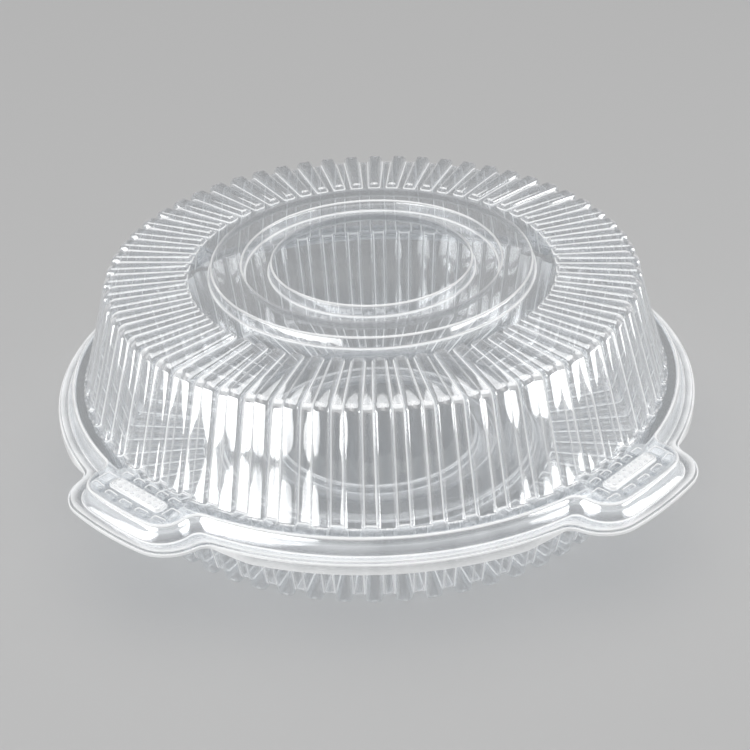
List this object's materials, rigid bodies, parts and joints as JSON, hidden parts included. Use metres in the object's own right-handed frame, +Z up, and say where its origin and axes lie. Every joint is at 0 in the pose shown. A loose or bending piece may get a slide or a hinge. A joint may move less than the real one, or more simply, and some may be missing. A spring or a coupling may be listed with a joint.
{
  "type": "plastic cake container",
  "caption": "Round clear plastic cake container: a ribbed base with a turned-down lip and finger tabs, and a ribbed lift-off lid with raised rings on top.",
  "frame": {"origin": "centre of the face the base stands on", "axes": "+Z up, the way the lid lifts off; -Y towards the picture's viewer; the tabs lie at 45 degrees to X and Y"},
  "size_m": [0.3066, 0.3066, 0.103],
  "materials": {
    "clear_plastic": "clear thin sheet, gloss"
  },
  "bodies": {
    "base": {"base": "clear_plastic"},
    "lid": {"lid": "clear_plastic"}
  },
  "joints": [
    {"name": "lid_lift", "type": "slide", "parent": "base", "child": "lid", "axis": [0, 0, 1], "range_m": [0, 0.11]}
  ]
}
